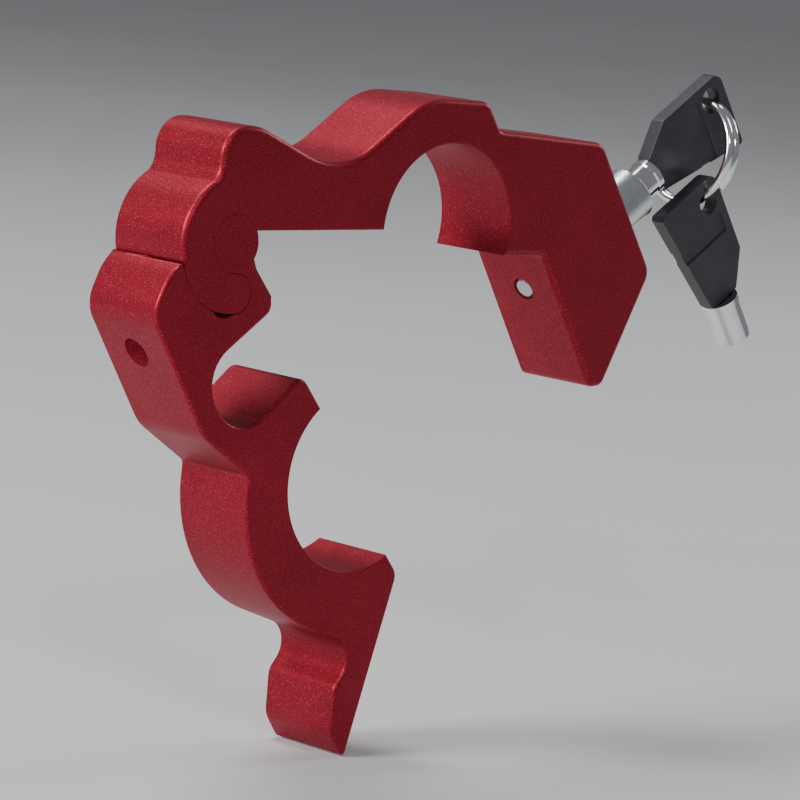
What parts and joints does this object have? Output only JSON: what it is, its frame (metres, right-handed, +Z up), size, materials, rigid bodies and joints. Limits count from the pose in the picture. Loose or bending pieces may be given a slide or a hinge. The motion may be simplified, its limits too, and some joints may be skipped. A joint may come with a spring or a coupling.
{
  "type": "handlebar grip lock",
  "caption": "Two-jaw clamp lock for a handlebar grip and brake lever, with a bulb hinge, a push-in tubular-key cylinder and keys on a split ring.",
  "frame": {"origin": "centre of the grip arch, midway through the thickness of the jaws", "axes": "+X from the hinge towards the lock cylinder, +Y along the grip, away from the face seen first, +Z up, from the grip towards the top of the arch"},
  "size_m": [0.1756, 0.0242, 0.138],
  "materials": {
    "red_anodised": "bead-blasted satin anodised",
    "bright_chrome": "polished",
    "barrel_satin": "satin plated",
    "steel": "machined",
    "dark_steel": "black oxide",
    "brass": "machined",
    "black_plastic": "fine moulded grain"
  },
  "bodies": {
    "upper": {"upper_jaw": "red_anodised", "barrel_screw": "dark_steel"},
    "lower": {"lower_jaw": "red_anodised", "hinge_screw": "dark_steel"},
    "barrel": {"lock_barrel": "barrel_satin", "pin_block": "brass", "block_pin": "steel", "driver_pins": "steel", "pin_springs": "steel", "locking_bolt": "steel", "bolt_pin": "steel", "return_spring": "steel"},
    "core": {"lock_core": "brass", "key_pins": "brass"},
    "dog": {"latch_dog": "steel"},
    "key": {"key_tube": "bright_chrome", "key_head": "black_plastic"},
    "ring": {"key_ring": "bright_chrome"},
    "spare": {"spare_key_tube": "bright_chrome", "spare_key_head": "black_plastic"}
  },
  "joints": [
    {"name": "jaw_hinge", "type": "hinge", "parent": "upper", "child": "lower", "pos_m": [-0.057, 0, -0.002], "axis": [0, -1, 0], "range_deg": [0, 50]},
    {"name": "barrel_push", "type": "slide", "parent": "upper", "child": "barrel", "axis": [-0.829, 0, -0.5592], "range_m": [0, 0.009], "stiffness_N_per_m": 350, "springref_m": -0.004, "deforming": ["return_spring"]},
    {"name": "core_turn", "type": "hinge", "parent": "barrel", "child": "core", "pos_m": [0.05508, 0, 0.00096], "axis": [0.829, 0, 0.5592], "range_deg": [-60, 0]},
    {"name": "dog_slide", "type": "slide", "parent": "barrel", "child": "dog", "axis": [-0.5592, 0, 0.829], "range_m": [0, 0.00116]},
    {"name": "key_draw", "type": "slide", "parent": "core", "child": "key", "axis": [0.829, 0, 0.5592], "range_m": [0, 0.012]},
    {"name": "ring_swing", "type": "hinge", "parent": "key", "child": "ring", "pos_m": [0.08475, 0, 0.02689], "axis": [0, -1, 0], "range_deg": [0, 20]},
    {"name": "spare_swing", "type": "hinge", "parent": "ring", "child": "spare", "pos_m": [0.08245, -0.0041, 0.00549], "axis": [0, -1, 0], "range_deg": [0, 20]}
  ],
  "couplings": [
    {"joint": "dog_slide", "follows": "core_turn", "m_per_rad": -0.001108}
  ]
}
